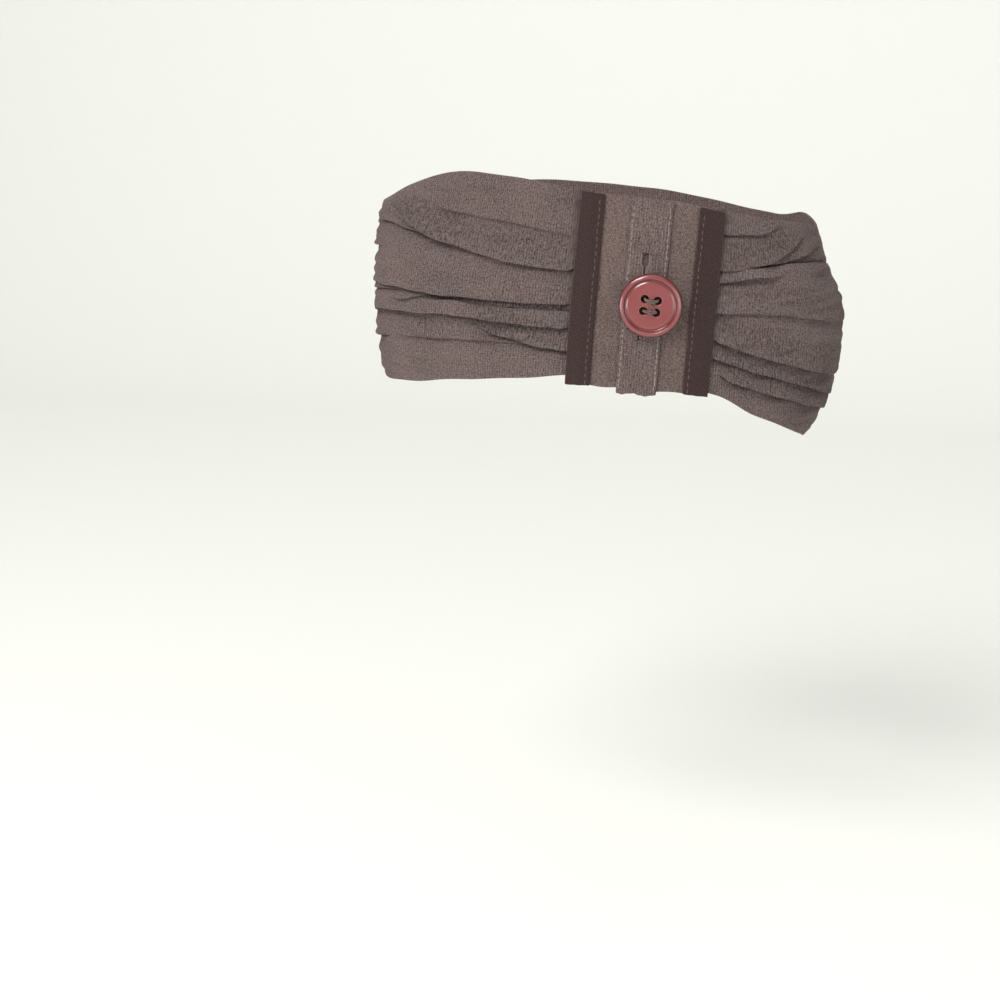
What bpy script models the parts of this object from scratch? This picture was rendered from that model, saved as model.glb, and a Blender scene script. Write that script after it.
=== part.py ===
"""A gathered cloth cuff for the top of an ankle boot.

The cuff is built in its own upright frame, in millimetres turned to metres, and hangs on an empty
that leans it back as it sits on the boot: +X is the back of the boot, -Y the side with the tab,
+Z up. The empty is at the middle of the hollow that the boot's shaft fills.
"""

import math
from bisect import bisect_right
from collections import namedtuple

import bmesh
import bpy
from mathutils import Matrix, Vector

MM = 0.001
LEAN = math.radians(4.0)  # the back of the cuff sits lower than the front

# How far the cloth reaches from the middle of the hollow, at each height.
Section = namedtuple("Section", "height front back side")
SECTIONS = (
    Section(-40, 69.5, 65.0, 37.5),
    Section(-26, 74.0, 72.0, 39.0),
    Section(-10, 76.8, 74.5, 40.0),
    Section(6, 77.8, 73.5, 40.0),
    Section(18, 77.5, 67.5, 39.5),
    Section(32, 75.0, 62.5, 38.5),
    Section(42, 71.5, 60.5, 38.0),
)
SQUARENESS = 2.25  # 2 would be an ellipse; more flattens the long sides

# Where the band ends below and above, by the turn round the ring in degrees: 0 is the middle of
# the near side, 90 the front of the boot, 180 the far side and 270 the back.
Edge = namedtuple("Edge", "turn bottom top")
EDGES = (
    Edge(0, -17.0, 38.4),
    Edge(22, -22.0, 40.0),
    Edge(42, -26.0, 39.2),
    Edge(60, -29.0, 33.5),
    Edge(80, -31.0, 26.5),
    Edge(95, -31.5, 25.5),
    Edge(120, -29.0, 27.5),
    Edge(180, -22.0, 32.0),
    Edge(235, -29.0, 28.5),
    Edge(255, -35.5, 31.0),
    Edge(275, -37.5, 29.5),
    Edge(300, -31.0, 31.5),
    Edge(318, -25.5, 33.5),
    Edge(330, -20.0, 35.0),
    Edge(345, -17.5, 37.5),
)

# The largest folds. Each is a trough along the band, between two distances from the tab's middle
# line, taken towards the front or towards the back, with its heights at its start, one third, two
# thirds and end. Its upper side drops in steeply and its lower side comes out slowly, as where
# gathered cloth hangs over itself.
Fold = namedtuple("Fold", "way start end height_1 height_2 height_3 height_4 depth width")
TO_FRONT, TO_BACK = 1, -1
STEEP, SLOW = 0.6, 1.4
FOLDS = (
    Fold(TO_FRONT, 22, 98, 15.0, 16.5, 19.5, 27.5, 2.8, 5.5),
    Fold(TO_FRONT, 22, 106, 3.5, 1.8, 1.0, -1.0, 2.2, 4.5),
    Fold(TO_FRONT, 22, 100, -4.5, -4.5, -5.5, -11.0, 2.6, 5.0),
    Fold(TO_FRONT, 22, 84, -11.0, -11.0, -12.5, -14.5, 1.6, 4.5),
    Fold(TO_FRONT, 96, 168, 8.0, 12.0, 11.0, 9.0, 2.6, 6.0),
    Fold(TO_FRONT, 106, 196, -16.0, -12.0, -8.5, -4.0, 2.6, 6.0),
    Fold(TO_FRONT, 146, 214, 22.0, 19.0, 19.0, 22.0, 2.2, 5.5),
    Fold(TO_BACK, 22, 76, 16.0, 18.0, 20.0, 16.0, 2.8, 5.5),
    Fold(TO_BACK, 22, 76, -3.0, -6.5, -11.0, -15.5, 2.6, 5.5),
    Fold(TO_BACK, 24, 78, -11.0, -15.0, -19.5, -26.0, 2.2, 4.5),
    Fold(TO_BACK, 72, 150, 2.0, 3.0, 6.0, 10.0, 2.6, 6.0),
    Fold(TO_BACK, 82, 168, -20.0, -16.0, -12.0, -9.0, 2.6, 6.0),
)

# The tab and what is sewn on it, in millimetres.
TAB_OFF_MIDDLE = 15.0  # the tab's middle line is this far towards the back of the near middle
SEAM = 18.1  # from the tab's middle line to each seam between band and tab
RIBBON_WIDTH = 7.7
PLACKET_WIDTH = 12.3
TAB_BOTTOM, TAB_DROP = -20.2, 0.3  # height of its lower edge, and how far its top is under the band's
GAP = 0.3  # between layers
SEAM_GAP = 0.5  # between pieces at a seam on the outer side; the ring closes it to 0.3 inside

BAND_WALL = 2.4
TAB_WALL = 1.6
PLACKET_WALL = 0.9
RIBBON_WALL = 0.8

BUTTONHOLE = {"along": 0.5, "height": 8.8, "length": 26.4, "width": 1.3}

BUTTON_PLACE = (-2.3, 6.8)  # along the tab and up
BUTTON_TURN = math.radians(-3.0)
BUTTON_RADIUS = 9.6
BUTTON_LIFT = 0.8  # over the placket, on its threads
HOLE_RADIUS = 1.2
HOLE_SPACING = (4.2, 3.8)  # across and up
THREAD_RADIUS = 0.6

BAND_COLUMNS, BAND_ROWS = 66, 23
TAB_ROWS = 14


# ---------------------------------------------------------------- the form


def through(table, place, key, value):
    """A smooth curve through two columns of a table, read at one place."""
    keys = [getattr(row, key) for row in table]
    values = [getattr(row, value) for row in table]
    return smooth(keys, values, place)


def smooth(keys, values, place):
    """The Catmull-Rom curve through the points (keys, values), held level past its ends."""
    place = min(max(place, keys[0]), keys[-1])
    i = min(max(bisect_right(keys, place) - 1, 0), len(keys) - 2)

    def slope(k):
        before, after = max(k - 1, 0), min(k + 1, len(keys) - 1)
        return (values[after] - values[before]) / (keys[after] - keys[before])

    step = keys[i + 1] - keys[i]
    t = (place - keys[i]) / step
    rise = values[i + 1] - values[i]
    bend = (1 - t) * step * slope(i) - t * step * slope(i + 1) + (2 * t - 1) * rise
    return values[i] + t * rise + t * (1 - t) * bend


def edge_at(turn, which):
    """The band's lower or upper edge at a turn, from the table of edges run past both its ends."""
    rows = [edge._replace(turn=edge.turn + lap) for lap in (-360, 0, 360) for edge in EDGES]
    return through(rows, turn % 360, "turn", which)


def ring_point(turn, height):
    """The cloth's outer side: a squared ellipse whose front and back halves differ in reach."""
    angle = math.radians(turn)
    across, near = math.sin(angle), math.cos(angle)
    power = 2 / SQUARENESS
    reach = through(SECTIONS, height, "height", "front" if across > 0 else "back")
    side = through(SECTIONS, height, "height", "side")
    x = -math.copysign(abs(across) ** power, across) * reach
    y = -math.copysign(abs(near) ** power, near) * side
    return Vector((x, y, height))


RING_STEP = 0.5  # degrees
LEVEL_STEP = 4.0  # millimetres of height between the rings that are measured


def measured_ring(height):
    """The distance round the ring from the tab's middle line, at each turn over a lap and more."""
    turns = [RING_STEP * k for k in range(round(-60 / RING_STEP), round(360 / RING_STEP) + 1)]
    points = [ring_point(turn, height) for turn in turns]
    lengths = [0.0]
    for before, after in zip(points, points[1:]):
        lengths.append(lengths[-1] + (after - before).length)
    middle = lengths[turns.index(0.0)] - TAB_OFF_MIDDLE
    lap = lengths[-1] - lengths[turns.index(0.0)]
    return turns, [length - middle for length in lengths], lap


LEVELS = [SECTIONS[0].height + LEVEL_STEP * k for k in range(22)]
RINGS = [measured_ring(level) for level in LEVELS]
MIDDLE_LAP = measured_ring(0.0)[2]


def turn_on_level(level, along):
    """The turn at a distance along the band. Past the seams the distance stretches with the lap."""
    turns, lengths, lap = RINGS[level]
    if along > SEAM:
        along = SEAM + (along - SEAM) * (lap - 2 * SEAM) / (MIDDLE_LAP - 2 * SEAM)
    i = min(max(bisect_right(lengths, along) - 1, 0), len(lengths) - 2)
    part = (along - lengths[i]) / (lengths[i + 1] - lengths[i])
    return turns[i] + part * (turns[i + 1] - turns[i])


def turn_at(along, height):
    """The turn at a distance from the tab's middle line, between the two nearest measured rings."""
    place = (height - LEVELS[0]) / LEVEL_STEP
    level = min(max(int(place), 0), len(LEVELS) - 2)
    part = place - level
    return (1 - part) * turn_on_level(level, along) + part * turn_on_level(level + 1, along)


def cloth_point(along, height, out=0.0):
    """A point on the cuff's outer side, moved out from it square to the ring, in millimetres."""
    turn = turn_at(along, height)
    here = ring_point(turn, height)
    ahead = ring_point(turn + RING_STEP, height) - ring_point(turn - RING_STEP, height)
    outward = Vector((-ahead.y, ahead.x, 0.0)).normalized()
    if outward.dot(Vector((here.x, here.y, 0.0))) < 0:
        outward.negate()
    return here + outward * out


def fold_depth(along, height):
    """How far the folds pull the cloth in: a rounded trough for each, faded at both its ends."""
    deepest = 0.0
    for fold in FOLDS:
        distance = along if fold.way == TO_FRONT else MIDDLE_LAP - along
        share = (distance - fold.start) / (fold.end - fold.start)
        if not 0 < share < 1:
            continue
        heights = (fold.height_1, fold.height_2, fold.height_3, fold.height_4)
        above = height - smooth((0, 1 / 3, 2 / 3, 1), heights, share)
        off = above / (fold.width * (STEEP if above > 0 else SLOW))
        if abs(off) >= 1:
            continue
        fade = min(1.0, 8 * share, 3 * (1 - share))
        deepest = max(deepest, fold.depth * fade * 0.5 * (1 + math.cos(math.pi * off)))
    return deepest


# ---------------------------------------------------------------- making objects


def clear_scene():
    for thing in list(bpy.data.objects):
        bpy.data.objects.remove(thing, do_unlink=True)


def new_collection(name):
    collection = bpy.data.collections.new(name)
    bpy.context.scene.collection.children.link(collection)
    return collection


def new_material(name, colour, roughness, sheen=0.0):
    material = bpy.data.materials.new(name)
    material.use_nodes = True
    shader = material.node_tree.nodes["Principled BSDF"]
    shader.inputs["Base Color"].default_value = (*colour, 1.0)
    shader.inputs["Roughness"].default_value = roughness
    shader.inputs["Metallic"].default_value = 0.0
    shader.inputs["Sheen Weight"].default_value = sheen
    material.diffuse_color = (*colour, 1.0)
    return material


def add_object(name, data, collection, parent, material=None):
    made = bpy.data.objects.new(name, data)
    collection.objects.link(made)
    made.parent = parent
    if material:
        data.materials.append(material)
    return made


def cloth_sheet(name, grid, wall, collection, parent, material):
    """A wall of cloth: a loft through columns of points in millimetres, thickened inwards.

    The columns run towards the front of the boot, each from its lower to its upper edge, so that
    the faces look outwards.
    """
    rows = len(grid[0])
    points = [point * MM for column in grid for point in column]
    faces = [
        (c * rows + r, c * rows + r + 1, (c + 1) * rows + r + 1, (c + 1) * rows + r)
        for c in range(len(grid) - 1)
        for r in range(rows - 1)
    ]
    mesh = bpy.data.meshes.new(name)
    mesh.from_pydata(points, [], faces)
    made = add_object(name, mesh, collection, parent, material)
    solidify = made.modifiers.new("Wall", "SOLIDIFY")
    solidify.thickness = wall * MM
    solidify.offset = -1
    return made


def spread(first, last, count):
    """Evenly spaced numbers, both ends included."""
    return [first + (last - first) * k / (count - 1) for k in range(count)]


# ---------------------------------------------------------------- the pieces


def make_band(collection, parent, material):
    """The gathered strip, from one seam round the front, far side and back to the other."""
    grid = []
    seam = SEAM + SEAM_GAP / 2
    for along in spread(seam, MIDDLE_LAP - seam, BAND_COLUMNS):
        turn = turn_at(along, 0.0)
        bottom, top = edge_at(turn, "bottom"), edge_at(turn, "top")
        heights = spread(bottom, top, BAND_ROWS)
        grid.append([cloth_point(along, z, -fold_depth(along, z)) for z in heights])
    return cloth_sheet("ruched_band", grid, BAND_WALL, collection, parent, material)


def tab_strip(name, middle, width, columns, out, wall, collection, parent, material):
    """An upright strip of the tab's height, centred a distance along, its outer side at out."""
    grid = []
    for along in spread(middle - width / 2, middle + width / 2, columns):
        top = edge_at(turn_at(along, 0.0), "top") - TAB_DROP
        grid.append([cloth_point(along, z, out) for z in spread(TAB_BOTTOM, top, TAB_ROWS)])
    return cloth_sheet(name, grid, wall, collection, parent, material)


def make_placket(collection, cutters, parent, material):
    """The strip down the tab's middle, with its buttonhole cut through it."""
    out = GAP + PLACKET_WALL
    placket = tab_strip(
        "placket_strip", 0.0, PLACKET_WIDTH, 5, out, PLACKET_WALL, collection, parent, material
    )
    half_width = BUTTONHOLE["width"] / 2
    half_length = BUTTONHOLE["length"] / 2 - half_width
    outline = bpy.data.curves.new("buttonhole_outline", "CURVE")
    outline.dimensions = "2D"
    outline.fill_mode = "BOTH"
    outline.extrude = 2 * PLACKET_WALL * MM
    spline = outline.splines.new("POLY")
    angles = spread(0, math.pi, 7)
    ends = [(half_width * math.cos(a), half_length + half_width * math.sin(a)) for a in angles]
    ends += [(-x, -y) for x, y in ends]
    spline.points.add(len(ends) - 1)
    for point, (x, y) in zip(spline.points, ends):
        point.co = (x * MM, y * MM, 0.0, 1.0)
    spline.use_cyclic_u = True
    drawn = add_object("buttonhole_outline", outline, cutters, parent)
    drawn.matrix_local = seat(BUTTONHOLE["along"], BUTTONHOLE["height"], out - PLACKET_WALL / 2)
    cutter = as_mesh(drawn, "buttonhole_cutter", cutters)
    cut(placket, cutter, "Buttonhole")
    return placket


def seat(along, height, out, spin=0.0):
    """A frame lying on the cloth: its Z looks out of the cloth and its Y runs up it."""
    here = cloth_point(along, height, out)
    outward = (cloth_point(along, height, out + 1) - here).normalized()
    up = (cloth_point(along, height + 1, out) - cloth_point(along, height - 1, out)).normalized()
    right = up.cross(outward).normalized()
    up = outward.cross(right)
    place = Matrix((right, up, outward)).transposed().to_4x4()
    place.translation = here * MM
    return place @ Matrix.Rotation(spin, 4, "Z")


def as_mesh(curve_object, name, collection):
    """A mesh object in place of a curve object, its caps welded."""
    bpy.context.view_layer.update()
    graph = bpy.context.evaluated_depsgraph_get()
    mesh = bpy.data.meshes.new_from_object(curve_object.evaluated_get(graph))
    weld(mesh)
    made = add_object(name, mesh, collection, curve_object.parent)
    made.matrix_local = curve_object.matrix_local.copy()
    bpy.data.objects.remove(curve_object)
    return made


def weld(mesh):
    work = bmesh.new()
    work.from_mesh(mesh)
    bmesh.ops.remove_doubles(work, verts=work.verts, dist=0.01 * MM)
    bmesh.ops.recalc_face_normals(work, faces=work.faces)
    work.to_mesh(mesh)
    work.free()


def cut(target, cutter, name):
    cutter.hide_render = True
    cutter.display_type = "WIRE"
    boolean = target.modifiers.new(name, "BOOLEAN")
    boolean.operation = "DIFFERENCE"
    boolean.object = cutter


def button_profile():
    """Half of the button's section, from the middle of its back round the rim to its face."""
    edge, back, face = BUTTON_RADIUS, 0.0, 2.2
    return (
        (0.0, back),
        (edge - 1.4, back),
        (edge - 0.5, 0.25),
        (edge - 0.05, 0.8),
        (edge, 1.2),
        (edge - 0.35, 1.9),
        (edge - 0.9, 2.55),
        (edge - 1.45, 2.8),
        (edge - 1.9, 2.6),
        (edge - 2.25, 2.15),
        (edge - 2.6, 2.05),
        (edge - 2.9, face),
        (0.0, face),
    )


def make_button(collection, cutters, parent, material):
    """A turned disc with a raised rim and four holes, lying on the placket."""
    mesh = bpy.data.meshes.new("button")
    points = [(r * MM, 0.0, z * MM) for r, z in button_profile()]
    mesh.from_pydata(points, [(k, k + 1) for k in range(len(points) - 1)], [])
    button = add_object("button", mesh, collection, parent, material)
    button.matrix_local = seat(*BUTTON_PLACE, button_out(), BUTTON_TURN)
    turned = button.modifiers.new("Turned", "SCREW")
    turned.steps = turned.render_steps = 40
    turned.use_merge_vertices = True
    turned.merge_threshold = 1e-6
    for x, y in hole_places():
        bpy.ops.mesh.primitive_cylinder_add(vertices=16, radius=HOLE_RADIUS * MM, depth=8 * MM)
        cutter = bpy.context.object
        cutter.name = "button_hole"
        for holder in list(cutter.users_collection):
            holder.objects.unlink(cutter)
        cutters.objects.link(cutter)
        cutter.parent = parent
        cutter.matrix_local = button.matrix_local @ Matrix.Translation((x * MM, y * MM, 0))
        cut(button, cutter, "Hole")
    return button


def button_out():
    """How far the button's back is from the cuff's outer side."""
    return GAP + PLACKET_WALL + BUTTON_LIFT


def hole_places():
    across, up = HOLE_SPACING
    return [(sx * across / 2, sy * up / 2) for sx in (-1, 1) for sy in (-1, 1)]


def make_thread(name, side, collection, parent, material):
    """One bar of thread: up through one hole, over the button's face and down through the next."""
    half, up = HOLE_SPACING[0] / 2, side * HOLE_SPACING[1] / 2
    foot, over, corner = GAP - BUTTON_LIFT, 2.2 + GAP + THREAD_RADIUS, 0.5
    route = (
        (-half, foot + THREAD_RADIUS / 2),
        (-half, over - corner),
        (-half + corner * 0.3, over - corner * 0.3),
        (-half + corner, over),
        (half - corner, over),
        (half - corner * 0.3, over - corner * 0.3),
        (half, over - corner),
        (half, foot + THREAD_RADIUS / 2),
    )
    curve = bpy.data.curves.new(name, "CURVE")
    curve.dimensions = "3D"
    curve.bevel_depth = THREAD_RADIUS * MM
    curve.bevel_resolution = 1
    curve.use_fill_caps = True
    spline = curve.splines.new("POLY")
    spline.points.add(len(route) - 1)
    for point, (x, z) in zip(spline.points, route):
        point.co = (x * MM, up * MM, z * MM, 1.0)
    thread = add_object(name, curve, collection, parent, material)
    thread.matrix_local = seat(*BUTTON_PLACE, button_out(), BUTTON_TURN)
    return thread


def build():
    clear_scene()
    pieces = new_collection("boot_cuff")
    cutters = new_collection("cutters")
    cuff = add_object("cuff_on_shaft", None, pieces, None)
    cuff.rotation_euler.y = LEAN

    cloth = new_material("taupe_cloth", (0.165, 0.122, 0.115), 0.92, sheen=0.15)
    twill = new_material("brown_twill", (0.063, 0.039, 0.036), 0.85, sheen=0.1)
    rose = new_material("rose_plastic", (0.30, 0.095, 0.095), 0.22)
    thread = new_material("taupe_thread", (0.155, 0.105, 0.085), 0.8)

    make_band(pieces, cuff, cloth)
    tab_width = 2 * SEAM - SEAM_GAP
    tab_strip("tab_panel", 0.0, tab_width, 9, 0.0, TAB_WALL, pieces, cuff, cloth)
    make_placket(pieces, cutters, cuff, cloth)
    for name, middle in (("ribbon_front", SEAM), ("ribbon_back", -SEAM)):
        out = GAP + RIBBON_WALL
        tab_strip(name, middle, RIBBON_WIDTH, 4, out, RIBBON_WALL, pieces, cuff, twill)
    make_button(pieces, cutters, cuff, rose)
    make_thread("thread_upper", 1, pieces, cuff, thread)
    make_thread("thread_lower", -1, pieces, cuff, thread)


build()
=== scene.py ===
# %% [markdown]
# A gathered boot cuff. It is a band of fine taupe jersey, ruched between the two long seams of a
# flat tab, with dark twill ribbons over the seams and a rose button on a narrow placket.
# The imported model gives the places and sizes. Every surface here is a grid of two parameters,
# worked out with numpy in millimetres in the cuff's own upright frame, then leaned and put in
# metres.

# %% Load the frame
import math

import bmesh
import bpy
import numpy as np
from mathutils import Matrix, Vector


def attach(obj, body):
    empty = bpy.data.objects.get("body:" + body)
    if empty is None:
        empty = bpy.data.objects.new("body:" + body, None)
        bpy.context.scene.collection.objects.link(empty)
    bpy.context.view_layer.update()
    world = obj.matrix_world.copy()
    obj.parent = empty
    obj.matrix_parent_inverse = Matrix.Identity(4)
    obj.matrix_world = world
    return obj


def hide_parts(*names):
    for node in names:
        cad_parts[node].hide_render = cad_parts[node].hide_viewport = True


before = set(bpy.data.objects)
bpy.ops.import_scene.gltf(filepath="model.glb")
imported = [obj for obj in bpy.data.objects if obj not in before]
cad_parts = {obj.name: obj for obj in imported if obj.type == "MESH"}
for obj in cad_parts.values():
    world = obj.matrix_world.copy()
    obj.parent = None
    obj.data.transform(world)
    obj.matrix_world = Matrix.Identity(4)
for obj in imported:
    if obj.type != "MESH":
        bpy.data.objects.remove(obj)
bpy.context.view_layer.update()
MM = 0.001
LEAN = math.radians(4.0)
rng = np.random.default_rng(7)
print("nodes", sorted(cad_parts))

# %% [markdown]
# The camera looks at the tab side from a little behind it and a little above, as one looks at a
# boot on a table. It is placed before anything is made.

# %% Camera
DISTANCE = 0.650
AZIMUTH, ELEVATION = math.radians(8.0), math.radians(9.5)
HEADING, DIP = math.radians(11.2), math.radians(15.25)

camera = bpy.data.objects.new("camera", bpy.data.cameras.new("camera"))
bpy.context.scene.collection.objects.link(camera)
camera.location = DISTANCE * Vector(
    (
        math.sin(AZIMUTH) * math.cos(ELEVATION),
        -math.cos(AZIMUTH) * math.cos(ELEVATION),
        math.sin(ELEVATION),
    )
)
camera.rotation_euler = (math.pi / 2 - DIP, 0.0, HEADING)
camera.data.sensor_width = 36.0
camera.data.lens = 72.0
camera.data.clip_start, camera.data.clip_end = 0.01, 20.0
bpy.context.scene.camera = camera
print("camera at", tuple(round(v, 3) for v in camera.location))

# %% [markdown]
# Everything below needs a mesh in an object and a material with nodes, so two helpers come first.
# A material could be built with one long list of nodes and links. The small functions inside
# new_material say the same in one line for each node, which is easier to read and to change.

# %% Object and material helpers
def new_object(name, points, faces, flat_faces=0):
    """A linked object with a mesh. It is shaded smooth, save for its last few faces."""
    mesh = bpy.data.meshes.new(name)
    mesh.from_pydata(points.tolist(), [], faces)
    smooth_faces = len(faces) - flat_faces
    mesh.polygons.foreach_set("use_smooth", [True] * smooth_faces + [False] * flat_faces)
    made = bpy.data.objects.new(name, mesh)
    bpy.context.scene.collection.objects.link(made)
    return made


def new_material(name, roughness, sheen=0.0):
    """A Principled shader with make, which adds a node, and dress, which joins the last ones to
    it. In make, i0 is a node's first input, and any other input goes by its name."""
    material = bpy.data.materials.new(name)
    material.use_nodes = True
    tree = material.node_tree
    shader = tree.nodes["Principled BSDF"]
    shader.inputs["Roughness"].default_value = roughness
    shader.inputs["Sheen Weight"].default_value = sheen
    shader.inputs["Sheen Roughness"].default_value = 0.5

    def make(kind, settings=None, **inputs):
        node = tree.nodes.new("ShaderNode" + kind)
        for key, value in (settings or {}).items():
            setattr(node, key, value)
        for key, value in inputs.items():
            numbered = key[0] == "i" and key[1:].isdigit()
            socket = node.inputs[int(key[1:]) if numbered else key.replace("_", " ")]
            if hasattr(value, "is_output"):
                tree.links.new(value, socket)
            else:
                socket.default_value = value
        return node

    def dress(colour, height, strength=1.0, distance=MM):
        """Gives the shader its colour, and a bump from a height times the distance in metres."""
        bump = make("Bump", Height=height, Strength=strength, Distance=distance)
        tree.links.new(colour, shader.inputs["Base Color"])
        tree.links.new(bump.outputs[0], shader.inputs["Normal"])

    return material, shader, make, dress


def maths(make, operation, *values):
    """One Math node on numbers or sockets."""
    inputs = {f"i{k}": value for k, value in enumerate(values)}
    return make("Math", {"operation": operation}, **inputs).outputs[0]


def two_tones(make, share, dark, light, low=0.0, high=1.0):
    """A colour that goes evenly from dark, where the share is low, to light, where it is high."""
    ramp = make("ValToRGB", Fac=share)
    for stop, place, colour in zip(ramp.color_ramp.elements, (low, high), (dark, light)):
        stop.position, stop.color = place, (*colour, 1.0)
    return ramp.outputs[0]


print("helpers ready")

# %% [markdown]
# The room is a pale floor that curves up into a pale wall, so that no horizon line shows. A plain
# floor plane and a wall would leave a line where they meet, and this sweep has none. Four soft area
# lights stand round it. The key comes from above and to the left of the camera, which leaves the
# undersides of the folds dark without a hard shadow. A fill lightens the other side, a small low
# glint picks out the button's rim, and the last one washes the wall.

# %% Floor and wall
FLOOR_DROP = 0.215
WALL_AT, CURVE_RADIUS, ROOM_REACH = 0.75, 0.35, 3.0
bend = np.linspace(0, math.pi / 2, 24)
wall_y = WALL_AT + CURVE_RADIUS
sweep_y = np.concatenate([[-ROOM_REACH], WALL_AT + CURVE_RADIUS * np.sin(bend), [wall_y]])
sweep_z = np.concatenate([[0.0], CURVE_RADIUS * (1 - np.cos(bend)), [ROOM_REACH]])
X, Y = np.meshgrid((-ROOM_REACH, 0.0, ROOM_REACH), sweep_y, indexing="ij")
Z = np.broadcast_to(sweep_z - FLOOR_DROP, X.shape)
rows = len(sweep_y)
faces = [(c * rows + r, (c + 1) * rows + r, (c + 1) * rows + r + 1, c * rows + r + 1)
         for c in range(2) for r in range(rows - 1)]
backdrop = new_object("backdrop", np.stack([X, Y, Z], -1).reshape(-1, 3), faces)
paper, paper_shader, _, _ = new_material("paper_backdrop", 0.9)
paper_shader.inputs["Base Color"].default_value = (0.86, 0.87, 0.835, 1.0)
backdrop.data.materials.append(paper)
print("backdrop", len(faces), "faces")


# %% Lights
def area_light(name, place, aim, size, watts, colour):
    """A square area light at a place, aimed at a point."""
    data = bpy.data.lights.new(name, "AREA")
    data.size, data.energy, data.color = size, watts, colour
    light = bpy.data.objects.new(name, data)
    light.location = place
    light.rotation_euler = (Vector(aim) - Vector(place)).to_track_quat("-Z", "Y").to_euler()
    bpy.context.scene.collection.objects.link(light)
    return light


CUFF, WALL_SPOT = (0, 0, 0), (0.0, 0.9, 0.2)
area_light("key", (-0.38, -0.85, 0.85), CUFF, 0.5, 11.5, (1.0, 0.985, 0.96))
area_light("fill", (0.95, -0.9, -0.02), CUFF, 0.8, 6.2, (0.98, 0.99, 1.0))
area_light("glint", (-0.75, -0.75, -0.06), CUFF, 0.35, 2.6, (1.0, 0.99, 0.98))
area_light("wall_wash", (0.0, -0.2, 1.7), WALL_SPOT, 1.6, 10.0, (1.0, 1.0, 0.985))
world = bpy.context.scene.world or bpy.data.worlds.new("room")
bpy.context.scene.world = world
world.use_nodes = True
sky = world.node_tree.nodes["Background"].inputs
sky["Color"].default_value = (1.0, 0.99, 0.965, 1.0)
sky["Strength"].default_value = 0.46
bpy.context.scene.view_settings.view_transform = "Standard"

# %% [markdown]
# The cuff keeps the oval of the boot's shaft under it. A short table of sections gives how far
# the cloth reaches to the front, back and side at each height, and a second one gives the height
# of its edges at each turn round the ring. A smooth curve through each column fills the rest in.
# A cage shaped by hand could give the same form, but every piece here lies on this one ring, and
# a formula puts each of them exactly on it. Heights and reaches are in millimetres, and turns in
# degrees.

# %% Form of the cuff
SECTIONS = {
    "height": (-40, -26, -10, 6, 18, 32, 42),
    "front": (69.5, 74.0, 76.8, 77.8, 77.5, 75.0, 71.5),
    "back": (65.0, 72.0, 74.5, 73.5, 67.5, 62.5, 60.5),
    "side": (37.5, 39.0, 40.0, 40.0, 39.5, 38.5, 38.0),
}
SQUARENESS = 2.25
EDGES = {
    "turn": (0, 22, 42, 60, 80, 95, 120, 180, 235, 255, 275, 300, 318, 330, 345),
    "bottom": (
        -17, -22, -26, -29, -31, -31.5, -29, -22, -29.5, -35, -36.6, -31.5, -25.5, -20, -17.5
    ),
    "top": (38.4, 40, 39.2, 33.5, 26.5, 25.5, 27.5, 32, 28.5, 31, 29.5, 31.5, 33.5, 35, 37.5),
}
TAB_OFF_MIDDLE = 15.0
SEAM = 18.1
HALF_CHORD = 0.6


def eased(share):
    """Smooth step: three times the square of the share less twice its cube."""
    return share * share * (3 - 2 * share)


def smooth(keys, values, places):
    """Catmull-Rom curve: each span starts and ends with the mean slope of its neighbours."""
    keys, values = np.asarray(keys, float), np.asarray(values, float)
    slopes = np.empty_like(values)
    slopes[1:-1] = (values[2:] - values[:-2]) / (keys[2:] - keys[:-2])
    slopes[0] = (values[1] - values[0]) / (keys[1] - keys[0])
    slopes[-1] = (values[-1] - values[-2]) / (keys[-1] - keys[-2])
    places = np.clip(places, keys[0], keys[-1])
    i = np.clip(np.searchsorted(keys, places, side="right") - 1, 0, len(keys) - 2)
    step, rise = keys[i + 1] - keys[i], values[i + 1] - values[i]
    t = (places - keys[i]) / step
    bend = (1 - t) * step * slopes[i] - t * step * slopes[i + 1] + (2 * t - 1) * rise
    return values[i] + t * rise + t * (1 - t) * bend


def edge_at(turn, which):
    """Height of the band's lower or upper edge at a turn, from the table run past both ends."""
    keys = np.asarray(EDGES["turn"], float)
    laps = np.concatenate([keys - 360, keys, keys + 360])
    return smooth(laps, np.tile(EDGES[which], 3), np.mod(turn, 360))


def ring_point(turn, height):
    """Squared ellipse: x and y are powers of sine and cosine times the reach at that height."""
    across, near = np.sin(np.radians(turn)), np.cos(np.radians(turn))
    power = 2 / SQUARENESS
    front = smooth(SECTIONS["height"], SECTIONS["front"], height)
    back = smooth(SECTIONS["height"], SECTIONS["back"], height)
    side = smooth(SECTIONS["height"], SECTIONS["side"], height)
    x = -np.sign(across) * np.abs(across) ** power * np.where(across > 0, front, back)
    return x, -np.sign(near) * np.abs(near) ** power * side


# %% Distance along the cloth
TURNS = np.linspace(-60, 360, 841)
LEVELS = np.arange(-44.0, 48.5, 2.0)
ring_x, ring_y = ring_point(TURNS[None, :], LEVELS[:, None])
pieces_of_ring = np.hypot(np.diff(ring_x, axis=1), np.diff(ring_y, axis=1))
lengths = np.concatenate([np.zeros((len(LEVELS), 1)), np.cumsum(pieces_of_ring, axis=1)], axis=1)
start = int(np.argmin(np.abs(TURNS)))
LAPS = lengths[:, -1] - lengths[:, start]
lengths = lengths - lengths[:, start : start + 1] + TAB_OFF_MIDDLE
LAP = float(np.interp(0.0, LEVELS, LAPS))
print("the cloth goes round in", round(LAP, 1), "mm")


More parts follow.
